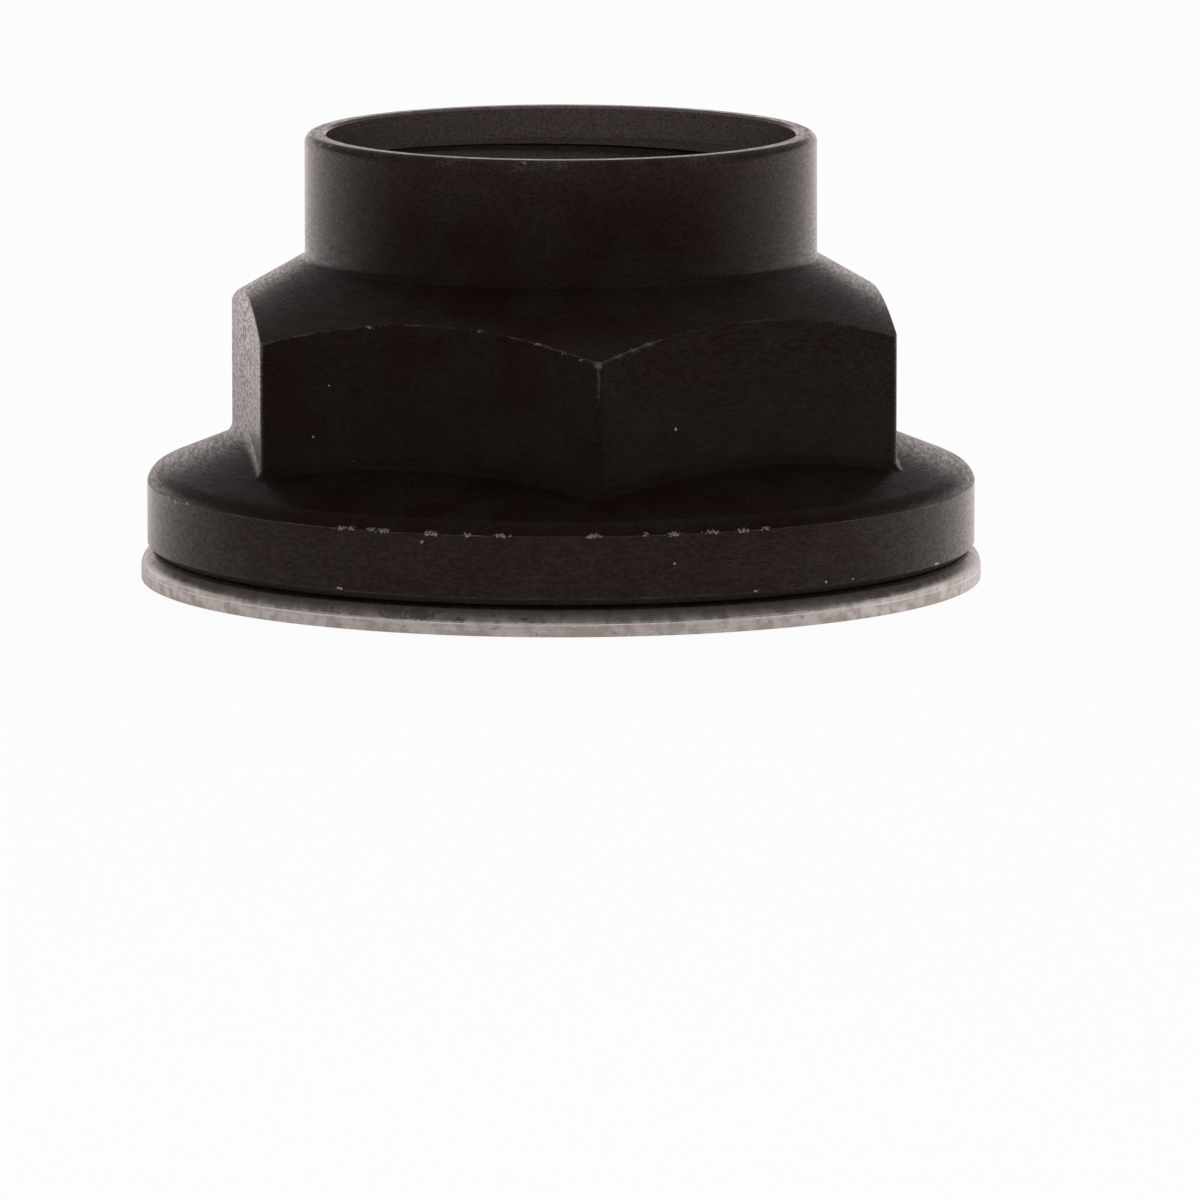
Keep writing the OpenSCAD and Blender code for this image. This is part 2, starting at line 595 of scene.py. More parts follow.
        # Painted highlight along the edges, drawn as film rubbed thin.
        film = graph.mix(graph.math("MULTIPLY", wear_and_highlight["Edge Highlight"], self.thinned_edge_highlight_share), film, self.thinned_edge_highlight)
        graph.feed(shader.inputs["Base Color"], graph.mix(bare, film, self.bare))
        graph.feed(shader.inputs["Metallic"], bare)
        rough = graph.remap(grain["Grain"], (0.3, 0.7), self.roughness)
        rough = graph.math("ADD", rough, graph.math("MULTIPLY", forged, self.forged_roughness))
        graph.feed(shader.inputs["Roughness"], graph.remap(bare, MASK, (rough, self.bare_roughness)))
        shader.inputs["IOR"].default_value = self.ior
        shader.inputs["Specular Tint"].default_value = self.tint

        worst = graph.remap(turned, (0.0, 0.2), self.coat_low)
        turned_skin = graph.remap(grain["Grain"], self.mottle_range, (worst, 1.0))
        forged_skin = graph.remap(spots["Grain"], self.mottle_range, (worst, 1.0))
        skin = graph.remap(forged, (0.0, 0.3), (turned_skin, forged_skin))
        lost = graph.math("MAXIMUM", graph.math("MULTIPLY", forged, self.forged_loss), bare)
        kept = graph.math("SUBTRACT", 1.0, lost)
        graph.feed(shader.inputs["Coat Weight"], graph.math("MULTIPLY", skin, kept))
        shader.inputs["Coat Roughness"].default_value = self.coat_roughness
        shader.inputs["Coat IOR"].default_value = self.coat_ior

        lines = graph.math("MULTIPLY", lathe["Height"], turned)
        normal = graph.bump(lines, self.ring_depth_mm, 0.6)
        coarse = graph.math("MULTIPLY", grain["Grain"], graph.remap(forged, MASK, (0.5, 1.0)))
        normal = graph.bump(coarse, self.grain_depth_mm, 0.7, normal)
        graph.feed(shader.inputs["Normal"], normal)
        return material


@dataclass(frozen=True)
class StampedSteel:
    """Bare stamped steel, mottled grey, with stains, brown tints and scratches.

    Attributes:
        grey: Colour of the cleaner metal.
        dull: Colour of the duller blotches.
        flange_gap_shade: Colour of the painted shade on the rolled edge towards the flange.
        stain: Colour of the dark stains.
        brown: Tint along the lower edge.
        rubbed_crease_highlight: Colour of the painted highlight along the rubbed crease.
        faced: Colour of the bearing face.
        faced_share: How far the bearing face goes to that colour.
        ring_shades: Brightness of the bearing face in the darkest and the lightest rings.
        roughness: Roughness of the smoothest and the roughest spots.
        blotch_mm: Size of the dull blotches.
        broad_blotch_mm: Size of the brown ones.
        grain_mm: Size of the grain.
        grain_depth_mm: Depth of the grain.
        speck_mm: Size of the dark specks.
        speck_share: How far a speck goes to the stain's colour.
        brown_height_mm: Height that the brown tint reaches.
        brown_share: How far it goes to its colour.
        flange_gap_shade_heights_mm: Heights between which the painted shade sets in.
        flange_gap_shade_share: How far the painted shade goes to its colour.
        ring_spacing_mm: Distance of the press and lathe rings.
        ring_waver_mm: How far they stray.
        ring_depth_mm: Depth of the rings.
        wear_amount: How much of the crease carries the rubbed, painted highlight.
        wear_patch_mm: Size of the rubbed patches.
        wear_speck_mm: Size of the specks within them.
    """

    grey: Colour = (0.78, 0.76, 0.73, 1.0)
    dull: Colour = (0.50, 0.48, 0.455, 1.0)
    flange_gap_shade: Colour = (0.16, 0.14, 0.13, 1.0)
    stain: Colour = (0.10, 0.09, 0.08, 1.0)
    brown: Colour = (0.52, 0.43, 0.35, 1.0)
    rubbed_crease_highlight: Colour = (0.92, 0.90, 0.86, 1.0)
    faced: Colour = (0.60, 0.58, 0.555, 1.0)
    faced_share: float = 0.75
    ring_shades: tuple[float, float] = (0.8, 1.15)
    roughness: tuple[float, float] = (0.16, 0.32)
    blotch_mm: float = 0.6
    broad_blotch_mm: float = 3.0
    grain_mm: float = 0.12
    grain_depth_mm: float = 0.012
    speck_mm: float = 0.22
    speck_share: float = 0.4
    brown_height_mm: float = 0.35
    brown_share: float = 0.7
    flange_gap_shade_heights_mm: tuple[float, float] = (0.62, 1.18)
    flange_gap_shade_share: float = 0.85
    ring_spacing_mm: float = 0.12
    ring_waver_mm: float = 0.3
    ring_depth_mm: float = 0.012
    wear_amount: float = 0.25
    wear_patch_mm: float = 2.4
    wear_speck_mm: float = 0.12

    def material(self, name: str, effects: Effects, stains: Sequence[Nick]) -> bpy.types.Material:
        """Builds the material.

        Args:
            name: Name of the material.
            effects: Shared node groups.
            stains: Dark spots.

        Returns:
            The material.
        """
        material, graph, shader = new_material(name)
        grain = effects.grain.place(graph, Grain_Size=self.grain_mm, Blotch_Size=self.blotch_mm)
        broad = effects.grain.place(graph, Grain_Size=self.speck_mm, Blotch_Size=self.broad_blotch_mm)
        lathe = effects.lathe.place(graph, Spacing=self.ring_spacing_mm, Waver=self.ring_waver_mm)
        wear_and_highlight = effects.wear_and_highlight.place(
            graph, Amount=self.wear_amount, Patch_Size=self.wear_patch_mm, Speck_Size=self.wear_speck_mm
        )
        rings = lathe["Height"]
        stained = graph.most([stain.mask(graph, effects) for stain in stains])

        colour = graph.mix(graph.remap(grain["Blotch"], (0.36, 0.62), MASK), self.dull, self.grey)
        height = graph.add("ShaderNodeSeparateXYZ")
        graph.feed(height.inputs[0], graph.place_mm())
        low = graph.remap(height.outputs["Z"], (self.brown_height_mm, 0.0), MASK)
        patchy = graph.remap(broad["Blotch"], (0.48, 0.62), (0.0, self.brown_share))
        colour = graph.mix(graph.math("MULTIPLY", low, patchy), colour, self.brown)
        turned = graph.add("ShaderNodeAttribute", attribute_name=TURNED_LAYER).outputs["Fac"]
        ringed = graph.vector("MULTIPLY", self.faced[:3], graph.remap(rings, (0.3, 0.7), self.ring_shades))
        colour = graph.mix(graph.remap(turned, (0.6, 1.0), (0.0, self.faced_share)), colour, ringed)
        # Painted shade: the rolled edge darkens upwards into the gap under the flange.
        high = graph.remap(height.outputs["Z"], self.flange_gap_shade_heights_mm, (0.0, self.flange_gap_shade_share))
        colour = graph.mix(high, colour, self.flange_gap_shade)
        specks = graph.remap(broad["Grain"], (0.62, 0.70), (0.0, self.speck_share))
        colour = graph.mix(graph.math("MAXIMUM", specks, stained), colour, self.stain)
        # The wear mask on the crease lays on a painted highlight in the rubbed crease colour.
        graph.feed(shader.inputs["Base Color"], graph.mix(wear_and_highlight["Mask"], colour, self.rubbed_crease_highlight))
        shader.inputs["Metallic"].default_value = 1.0
        graph.feed(shader.inputs["Roughness"], graph.remap(grain["Blotch"], (0.3, 0.7), self.roughness))

        normal = graph.bump(rings, self.ring_depth_mm, 0.5)
        normal = graph.bump(grain["Grain"], self.grain_depth_mm, 0.5, normal)
        graph.feed(shader.inputs["Normal"], normal)
        return material


def new_material(name: str) -> tuple[bpy.types.Material, NodeGraph, bpy.types.Node]:
    """Starts a material.

    Args:
        name: Name of the material.

    Returns:
        The material, the graph of its nodes and its Principled shader.
    """
    material = bpy.data.materials.new(name)
    material.use_nodes = True
    return material, NodeGraph(material.node_tree), material.node_tree.nodes["Principled BSDF"]


class Row(NamedTuple):
    """A point of an outline, which the spin turns into a ring.

    Attributes:
        r: Radius, in millimetres.
        z: Height, in millimetres.
        wear_and_highlight: How readily the ring wears bare and takes the painted edge highlight, from 0 to 1.
        turned: How plainly it shows lathe rings, from 0 to 1.
        forged: How rough it is left by the forge, from 0 to 1.
        stretch: Number of the corner that the ring belongs to or follows.
    """

    r: float
    z: float
    wear_and_highlight: float
    turned: float
    forged: float
    stretch: int


@dataclass(frozen=True)
class Corner:
    """A corner of a turned outline.

    Attributes:
        r: Radius, in millimetres.
        z: Height, in millimetres.
        rounding: Radius of the arc that rounds the corner, in millimetres.
        steps: Number of even steps along the straight stretch after it.
        wear_and_highlight: How readily the corner wears bare and takes the painted edge highlight, from 0 to
            1.
        turned: How plainly the stretch after it shows lathe rings, from 0 to 1.
        forged: How rough the forge left that stretch, from 0 to 1.
        fade: How far the finish fades into the next one by the end of that stretch, from 0 to 1.
    """

    r: float
    z: float
    rounding: float = 0.0
    steps: int = 1
    wear_and_highlight: float = 0.0
    turned: float = 0.6
    forged: float = 0.0
    fade: float = 0.0

    @property
    def point(self) -> Vector:
        """The corner as a plane vector."""
        return Vector((self.r, self.z))


@dataclass(frozen=True)
class Outline:
    """The closed half section of a turned piece, with its corners rounded.

    Attributes:
        corners: Corners in order.
        wide_step: Angle of one step along a wide arc, in degrees.
        tight_step: Angle of one step along a tight arc, in degrees.
        wide_radius: Radius from which an arc is wide, in millimetres.
        hold: Distance of the rings that hold a straight stretch flat beside its ends, in millimetres.
    """

    corners: Sequence[Corner]
    wide_step: float = 8.0
    tight_step: float = 16.0
    wide_radius: float = 0.3
    hold: float = 0.06

    def arc(self, index: int) -> list[Row]:
        """Rounds one corner.

        Args:
            index: Number of the corner.

        Returns:
            The rows along its arc, or one row where it is sharp.
        """
        corner = self.corners[index]
        point = corner.point
        back = (self.corners[index - 1].point - point).normalized()
        ahead = (self.corners[(index + 1) % len(self.corners)].point - point).normalized()
        turn = math.pi - back.angle(ahead)
        if corner.rounding == 0.0:
            return [Row(*point, corner.wear_and_highlight, corner.turned, corner.forged, index)]
        first = point + back * corner.rounding * math.tan(turn / 2)
        middle = point + (back + ahead).normalized() * corner.rounding / math.cos(turn / 2)
        step = self.wide_step if corner.rounding >= self.wide_radius else self.tight_step
        steps = max(2, math.ceil(math.degrees(turn) / step))
        side = math.copysign(1.0, ahead.cross(back))
        before = self.corners[index - 1]
        rows = []
        for count in range(steps + 1):
            share = count / steps
            spot = middle + Matrix.Rotation(side * turn * share, 2) @ (first - middle)
            mixed = before.fade + (1 - before.fade) * share
            turned = before.turned + (corner.turned - before.turned) * mixed
            forged = before.forged + (corner.forged - before.forged) * mixed
            rows.append(Row(*spot, corner.wear_and_highlight, turned, forged, index))
        return rows

    def straight(self, start: Row, end: Row, steps: int) -> list[Row]:
        """Divides the straight stretch between two arcs.

        Args:
            start: Last row of the arc before it.
            end: First row of the arc after it.
            steps: Number of even steps.

        Returns:
            The rows between them, with a holding row beside each end.
        """
        length = math.hypot(end.r - start.r, end.z - start.z)
        hold = min(self.hold / length, 0.25)
        shares = [hold, *(count / steps for count in range(1, steps)), 1 - hold]
        rows = []
        for share in shares:
            mixed = [first + (last - first) * share for first, last in zip(start, end)]
            rows.append(Row(mixed[0], mixed[1], 0.0, mixed[3], mixed[4], start.stretch))
        return rows

    def rows(self) -> list[Row]:
        """Gives all rows of the outline.

        Returns:
            The rows, in order.
        """
        arcs = [self.arc(index) for index in range(len(self.corners))]
        rows: list[Row] = []
        for index, arc in enumerate(arcs):
            rows += arc
            rows += self.straight(arc[-1], arcs[(index + 1) % len(arcs)][0], self.corners[index].steps)
        return rows


def spin_outline(rows: Sequence[Row], columns: int) -> bmesh.types.BMesh:
    """Spins a closed outline around the axis.

    Args:
        rows: Rows of the outline.
        columns: Number of steps around the axis.

    Returns:
        A closed mesh whose vertices hold their row, wear and finish.
    """
    bm = bmesh.new()
    row_layer = bm.verts.layers.int.new(ROW_LAYER)
    wear_and_highlight_layer = bm.verts.layers.float.new(WEAR_AND_HIGHLIGHT_LAYER)
    turned_layer = bm.verts.layers.float.new(TURNED_LAYER)
    forged_layer = bm.verts.layers.float.new(FORGED_LAYER)
    ring = []
    for index, row in enumerate(rows):
        vert = bm.verts.new((row.r * MM, 0.0, row.z * MM))
        vert[row_layer] = index
        vert[wear_and_highlight_layer] = row.wear_and_highlight
        vert[turned_layer] = row.turned
        vert[forged_layer] = row.forged
        ring.append(vert)
    edges = [bm.edges.new((vert, ring[index - 1])) for index, vert in enumerate(ring)]
    bmesh.ops.spin(
        bm, geom=ring + edges, cent=(0, 0, 0), axis=(0, 0, 1), angle=math.tau, steps=columns, use_merge=True
    )
    bmesh.ops.recalc_face_normals(bm, faces=bm.faces)
    return bm


def make_object(bm: bmesh.types.BMesh, name: str) -> bpy.types.Object:
    """Turns a mesh under construction into an object at the origin.

    Args:
        bm: The mesh, which is freed.
        name: Name of the object.

    Returns:
        The object, linked to the scene.
    """
    mesh = bpy.data.meshes.new(name)
    bm.to_mesh(mesh)
    bm.free()
    piece = bpy.data.objects.new(name, mesh)
    bpy.context.scene.collection.objects.link(piece)
    return piece


def shade(piece: bpy.types.Object, sharp_angle: float = 28.0) -> None:
    """Shades a piece smooth, apart from its sharp edges.

    Args:
        piece: The piece.
        sharp_angle: Angle from which an edge is sharp, in degrees.
    """
    piece.data.shade_smooth()
    piece.data.set_sharp_from_angle(angle=math.radians(sharp_angle))


def settle(piece: bpy.types.Object, material: bpy.types.Material, body: Body, node: Node) -> None:
    """Gives a finished piece its material and body, and hides the imported solid that it stands for.

    Args:
        piece: The piece.
        material: Its finish.
        body: Body that it rides on.
        node: Solid that it stands for.
    """
    piece.data.materials.clear()
    piece.data.materials.append(material)
    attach(piece, body.value)
    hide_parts(node.value)


@dataclass
class ThreadTap:
    """The cutter that leaves the thread's groove in the bore.

    Attributes:
        major_r: Radius of the groove's root, in millimetres.
        minor_r: Radius of the bore's wall, in millimetres.
        pitch: Rise of one turn, in millimetres.
        start_z: Height of the groove's middle where the cut starts, in millimetres.
        turns: Number of turns.
        steps: Steps of one turn.
        inside: How far the cutter reaches past the bore's wall towards the axis, in millimetres.
        root_flat: Width of the groove's root, as a share of the pitch.
        flank_angle: Angle of a flank to the level, in degrees.
        weld: Distance below which points are merged after the cut, in millimetres.
    """

    major_r: float
    minor_r: float
    pitch: float = 1.5
    start_z: float = -0.65
    turns: int = 15
    steps: int = 96
    inside: float = 0.29
    root_flat: float = 0.125
    flank_angle: float = 30.0
    weld: float = 0.001

    def build(self) -> bpy.types.Object:
        """Spins the groove's profile along its helix.

        Returns:
            The closed cutter.
        """
        root_half = self.pitch * self.root_flat / 2
        inner_r = self.minor_r - self.inside
        inner_half = root_half + (self.major_r - inner_r) * math.tan(math.radians(self.flank_angle))
        profile = [
            (inner_r, -inner_half),
            (self.major_r, -root_half),
            (self.major_r, root_half),
            (inner_r, inner_half),
        ]
        bm = bmesh.new()
        verts = [bm.verts.new((r * MM, 0.0, (self.start_z + z) * MM)) for r, z in profile]
        edges = [bm.edges.new((vert, verts[index - 1])) for index, vert in enumerate(verts)]
        rise = Vector((0.0, 0.0, self.pitch * MM / self.steps))
        bmesh.ops.spin(
            bm,
            geom=verts + edges,
            cent=(0, 0, 0),
            axis=(0, 0, 1),
            dvec=rise,
            angle=math.tau * self.turns,
            steps=self.steps * self.turns,
        )
        bmesh.ops.holes_fill(bm, edges=[edge for edge in bm.edges if edge.is_boundary], sides=len(profile))
        bmesh.ops.recalc_face_normals(bm, faces=bm.faces)
        return make_object(bm, "thread_tap")

    def weld_slivers(self, mesh: bpy.types.Mesh) -> None:
        """Merges the slivers that the cut leaves where its edges fall on those of the piece.

        Args:
            mesh: The cut mesh.
        """
        bm = bmesh.new()
        bm.from_mesh(mesh)
        bmesh.ops.remove_doubles(bm, verts=bm.verts, dist=self.weld * MM)
        bmesh.ops.dissolve_degenerate(bm, edges=bm.edges, dist=self.weld * MM)
        bmesh.ops.dissolve_verts(bm, verts=[vert for vert in bm.verts if len(vert.link_edges) == 2])
        bm.to_mesh(mesh)
        bm.free()

    def cut(self, piece: bpy.types.Object) -> None:
        """Cuts the groove into a piece.

        Args:
            piece: The piece, whose mesh is replaced.
        """
        tap = self.build()
        groove = piece.modifiers.new("groove", "BOOLEAN")
        groove.operation = "DIFFERENCE"
        groove.solver = "MANIFOLD"
        groove.object = tap
        depsgraph = bpy.context.evaluated_depsgraph_get()
        threaded = bpy.data.meshes.new_from_object(piece.evaluated_get(depsgraph))
        piece.modifiers.clear()
        self.weld_slivers(threaded)
        blank = piece.data
        piece.data = threaded
        bpy.data.meshes.remove(blank)
        bpy.data.objects.remove(tap)


@dataclass
class NutBody:
    """The black nut: stake collar, chamfered hexagon, conical flange, spigot and threaded bore.

    All lengths are in millimetres and all angles in degrees.

    Attributes:
        flange_r: Radius of the flange.
        rim_z: Height of the collar's rim.
        lip_z: Height of the swaged lip's end.
        minor_r: Radius of the thread's crest.
        flange_z: Height of the flange's underside.
        major_r: Radius of the thread's root.
        hex_r: Half the width across the flats.
        body_h: Height from the flange's underside to the collar's foot.
        top_slope: Slope of the cone that chamfers the corners.
        root_r: Radius of the fillet where a flat runs out onto the flange.
        flange_side_h: Height from the flange's underside to the crease.
        flange_slope: Slope of the flange's cone.
        shoulder_r: Radius of the shoulder above the crease.
        shoulder_turn: How far the shoulder turns towards the vertical.
        flange_chamfer: Width of the chamfer round the flange's lower edge.
        collar_wall: Thickness of the collar.
        collar_relief: Clearance of the plain bore around the thread.
        collar_bore_h: Depth of the plain bore.
        rim_r: Radius of the rim's outer edge.
        rim_chamfer: Width of the chamfer on the rim's inner edge.
        foot_r: Radius of the fillet at the collar's foot.
        spigot_wall: Wall between the thread and the outside of the spigot.
        flare_h: Height and width of the swaged lip's flare.
        lead_in: How far the lead-in countersink opens past the thread.
        corner_r: Radius of the hexagon's corners.
        edge_r: Radius of the edge between a flat and the chamfer cone.
        break_r: Radius of the other broken edges.
        crease_r: Radius of the crease.
        flat_steps: Columns from the middle of a flat to the corner's zone.
        corner_steps: Columns from there to the corner.
        corner_zone: Half the width of the corner's zone.
        corner_wear_h: How far down a corner's edge is worn.
        corner_wear_w: How wide it is worn there.
        arc_wear_and_highlight_w: How far from a corner the edge of the chamfer cone is worn more and takes
            more painted highlight.
        arc_wear_and_highlight: Wear and painted highlight of that edge at mid flat, and what a corner adds.
        bore_turned_and_lit: Finish of the threaded wall, as turned, set lighter to paint light into the deep
            bore.
        step_turned_and_lit: Finish of the step above it, as turned, set lighter to paint light into the deep
            bore.
        finish: Finish of the nut.
    """

    flange_r: float
    rim_z: float
    lip_z: float
    minor_r: float
    flange_z: float
    major_r: float = 11.0
    hex_r: float = 15.0
    body_h: float = 13.95
    top_slope: float = 30.0
    root_r: float = 0.6
    flange_side_h: float = 3.25
    flange_slope: float = 22.0
    shoulder_r: float = 0.95
    shoulder_turn: float = 78.0
    flange_chamfer: float = 0.34
    collar_wall: float = 1.02
    collar_relief: float = 0.12
    collar_bore_h: float = 1.5
    rim_r: float = 0.45
    rim_chamfer: float = 0.12
    foot_r: float = 0.4
    spigot_wall: float = 1.6
    flare_h: float = 0.4
    lead_in: float = 0.4
    corner_r: float = 0.5
    edge_r: float = 0.09
    break_r: float = 0.05
    crease_r: float = 0.03
    flat_steps: int = 22
    corner_steps: int = 5
    corner_zone: float = 0.9
    corner_wear_h: float = 2.6
    corner_wear_w: float = 0.03
    arc_wear_and_highlight_w: float = 1.6
    arc_wear_and_highlight: tuple[float, float] = (0.75, 0.6)
    bore_turned_and_lit: float = 0.74
    step_turned_and_lit: float = 0.73
    finish: BlackOxide = field(default_factory=BlackOxide)

    # Number of the outline's corner between the chamfer cone and a flat
    CHAMFER_EDGE = 8

    @classmethod
    def from_frame(cls) -> "NutBody":
        """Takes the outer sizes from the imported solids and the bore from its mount.

        Returns:
            The nut at the size of the frame.
        """
        low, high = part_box(Node.NUT_BODY.value)
        washer_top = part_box(Node.CAPTIVE_WASHER.value)[1][2]
        mounts = {mount["name"]: mount for mount in frame["record"]["mounts"]}
        return cls(
            flange_r=high[0] / MM,
            rim_z=high[2] / MM,
            lip_z=low[2] / MM,
            minor_r=mounts["spindle_thread"]["dims"]["r_mm"],
            flange_z=washer_top / MM,
        )

    @property
    def collar_bore_r(self) -> float:
        """Radius of the collar's plain bore."""
        return self.major_r + self.collar_relief

    @property
    def collar_r(self) -> float:
        """Outer radius of the collar."""
        return self.collar_bore_r + self.collar_wall

    @property
    def floor_z(self) -> float:
        """Height of the plain bore's lower end."""
        return self.rim_z - self.collar_bore_h

    @property
    def step_z(self) -> float:
        """Height of the thread's upper end, where the step to the plain bore starts."""
        return self.floor_z - (self.collar_bore_r - self.minor_r)

    @property
    def crease_z(self) -> float:
        """Height of the crease around the flange."""
        return self.flange_z + self.flange_side_h

    def top_cone_z(self, r: float) -> float:
        """Height of the chamfer cone at a radius."""
        return self.flange_z + self.body_h - (r - self.collar_r) * math.tan(math.radians(self.top_slope))

    def shoulder_apex(self) -> Vector:
        """Finds the corner that the shoulder's arc rounds.

        Returns:
            The point where the cone's line meets the line into the crease.
        """
        end = math.radians(90 - self.shoulder_turn)
        crease = Vector((self.flange_r, self.crease_z))
        middle = crease - self.shoulder_r * Vector((math.cos(end), math.sin(end)))
        half_sweep = math.radians(self.shoulder_turn - self.flange_slope) / 2
        toward = end + half_sweep
        reach = self.shoulder_r / math.cos(half_sweep)
        return middle + reach * Vector((math.cos(toward), math.sin(toward)))

    def flange_cone_z(self, r: float) -> float:
        """Height of the flange's cone at a radius."""
        apex = self.shoulder_apex()
        return apex.y + (apex.x - r) * math.tan(math.radians(self.flange_slope))

    def reach(self, azimuth: float) -> float:
        """Distance from the axis to the hexagon's rounded outline.

        Args:
            azimuth: Angle around the axis from the middle of a flat, in radians.

        Returns:
            The distance, in millimetres.
        """
        off_flat = abs((azimuth + HALF_SECTOR) % (2 * HALF_SECTOR) - HALF_SECTOR)
        tangent = math.atan2((self.hex_r - self.corner_r) * math.tan(HALF_SECTOR), self.hex_r)
        if off_flat <= tangent:
            return self.hex_r / math.cos(off_flat)
        off_corner = HALF_SECTOR - off_flat
        middle = (self.hex_r - self.corner_r) / math.cos(HALF_SECTOR)
        across = middle * math.sin(off_corner)
        return middle * math.cos(off_corner) + math.sqrt(self.corner_r**2 - across**2)

    def outline(self, reach: float) -> Outline:
        """The half section where the hexagon reaches a given distance from the axis.

        Args:
            reach: Distance from the axis to the hexagon's outline.

        Returns:
            The closed half section.
        """
        lead_in_r = self.major_r + self.lead_in
        lead_in_top = self.lip_z + lead_in_r - self.minor_r
        spigot_r = self.major_r + self.spigot_wall
        bore_r = self.collar_bore_r
        rim_z = self.rim_z
        foot_z = self.flange_z + self.body_h
        cone_z = self.top_cone_z(reach)
        root_z = self.flange_cone_z(reach)
        apex = self.shoulder_apex()
        side_r = self.flange_r
        chamfer = self.flange_chamfer
        broken = self.break_r
        # The shoulder's arc stops short of the crease, which has a rounding of its own
        shoulder_r = self.shoulder_r - self.crease_r
        return Outline(
            [
                Corner(lead_in_r, self.lip_z, broken, 1, turned=1.0),
                Corner(self.minor_r, lead_in_top, broken, 2, turned=self.bore_turned_and_lit),
                Corner(self.minor_r, self.step_z, broken, 1, turned=self.step_turned_and_lit),
                Corner(bore_r, self.floor_z, broken, 2, wear_and_highlight=0.6, turned=1.0),
                Corner(bore_r, rim_z - self.rim_chamfer, broken / 2, 1, wear_and_highlight=0.5, turned=1.0),
                Corner(bore_r + self.rim_chamfer, rim_z, broken / 2, 2, wear_and_highlight=1.0, forged=0.4),
                Corner(self.collar_r, rim_z, self.rim_r, 6, wear_and_highlight=0.4, turned=0.63, fade=0.5),
                Corner(self.collar_r, foot_z, self.foot_r, 5, turned=0.3, forged=0.5),
                # fade=0.85 makes the flats darker towards their foot: painted shade, beside a rougher forged
                # finish.
                Corner(reach, cone_z, self.edge_r, 8, wear_and_highlight=0.7, turned=0.0, forged=0.32, fade=0.85),
                Corner(reach, root_z, self.root_r, 4, turned=0.2, forged=0.8, fade=0.7),
                Corner(apex.x, apex.y, shoulder_r, 1, turned=0.2, forged=0.6),
                Corner(side_r, self.crease_z, self.crease_r, 4, wear_and_highlight=1.0),
                # turned=0.8 lightens the flange's lower chamfer to lift the shade of the gap over the washer:
                # painted light.
                Corner(side_r, self.flange_z + chamfer, broken, 1, wear_and_highlight=0.6, turned=0.8, forged=1.0),
                Corner(side_r - chamfer, self.flange_z, broken, 3, turned=0.68, forged=1.0),
                Corner(spigot_r, self.flange_z, 0.0, 1),
                Corner(spigot_r, self.lip_z + self.flare_h, broken, 1),
                Corner(spigot_r + self.flare_h, self.lip_z, broken, 1),
            ]
        )

    def columns(self) -> list[float]:
        """Angles of the columns around the axis, closer together at the corners.

        Returns:
            Angles from the +X axis, in radians.
        """
        half = 180.0 / SIDES
        flat = half - self.corner_zone
        arm = [flat * count / self.flat_steps for count in range(self.flat_steps)]
        arm += [flat + self.corner_zone * count / self.corner_steps for count in range(self.corner_steps + 1)]
        sector = [-angle for angle in arm[:0:-1]] + arm[:-1]
        return [math.radians(2 * half * side + angle) for side in range(SIDES) for angle in sector]

